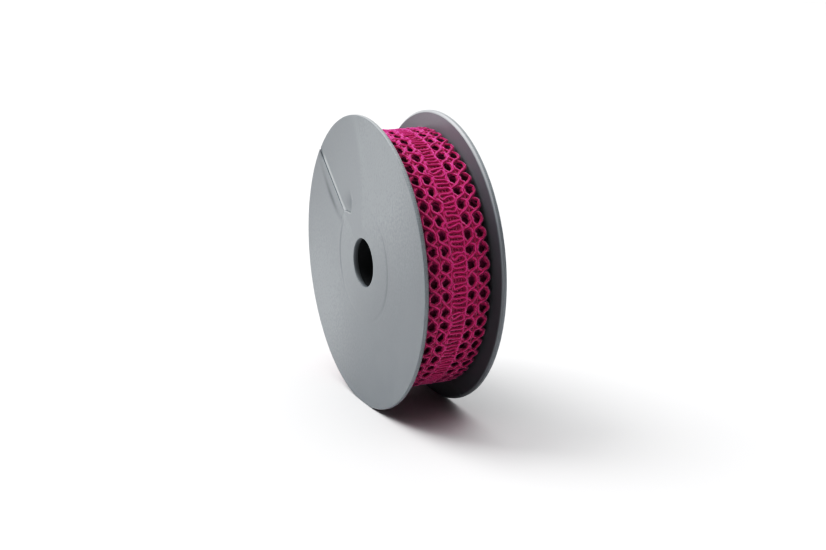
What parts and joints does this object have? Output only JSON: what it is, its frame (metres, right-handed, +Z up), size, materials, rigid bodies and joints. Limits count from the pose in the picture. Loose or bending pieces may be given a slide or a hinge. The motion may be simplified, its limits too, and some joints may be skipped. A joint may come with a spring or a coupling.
{
  "type": "roll of lace trimming on a plastic reel",
  "caption": "Roll of narrow openwork lace trimming, wound in many turns on a moulded plastic reel with two thin round flanges and a bore through its hub.",
  "frame": {"origin": "on the surface that the reel stands on, under the middle of the reel", "axes": "+X along the reel's axis from the front flange to the rear flange, +Z up, +Y across the reel"},
  "size_m": [0.0216, 0.075, 0.0747],
  "materials": {
    "reel": "satin grey moulded plastic with a fine grain",
    "hub": "satin grey moulded plastic",
    "lace": "soft magenta yarn, twisted and plaited into open lace"
  },
  "bodies": {
    "root": {"flange_front": "reel", "flange_rear": "reel", "hub": "hub", "lace_roll": "lace"}
  },
  "joints": []
}
